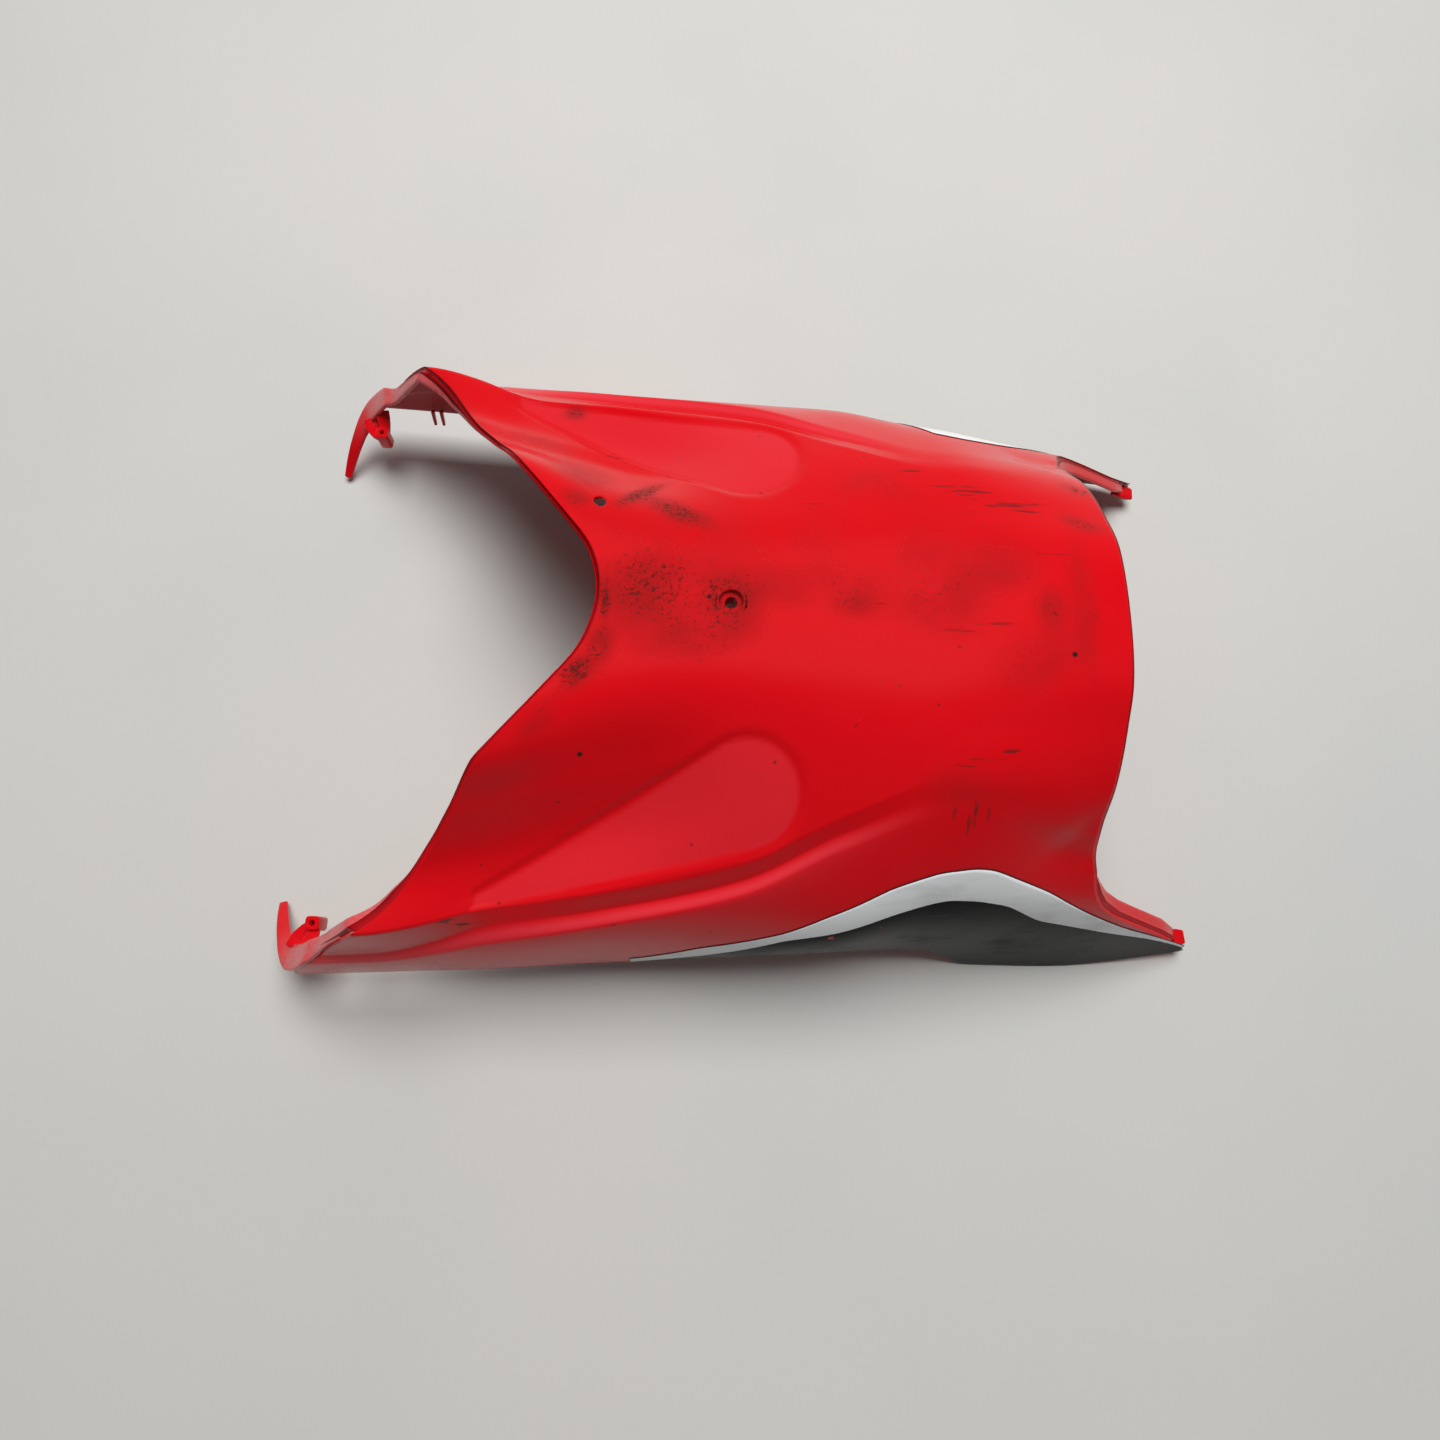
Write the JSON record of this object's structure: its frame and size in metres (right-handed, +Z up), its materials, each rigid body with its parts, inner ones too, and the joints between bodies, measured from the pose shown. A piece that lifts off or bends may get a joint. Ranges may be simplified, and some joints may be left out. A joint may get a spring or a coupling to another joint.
{
  "type": "scooter underbody panel",
  "caption": "Moulded plastic belly panel for a scooter: an arched open shell with hooked horns at the rear, a stepped lower edge and wings at the front.",
  "frame": {"origin": "on the table under the middle of the panel's box, with the panel lying belly up", "axes": "+X along the panel from the rear horns to the front wings, +Y to the left, +Z up through the belly"},
  "size_m": [0.599, 0.4002, 0.1685],
  "materials": {
    "red_plastic": "worn gloss red, scuffed and dirty on the belly",
    "printed_film": "printed vinyl, a white band over a black field"
  },
  "bodies": {
    "root": {"underbody_panel": "red_plastic", "left_decal": "printed_film", "right_decal": "printed_film"}
  },
  "joints": []
}
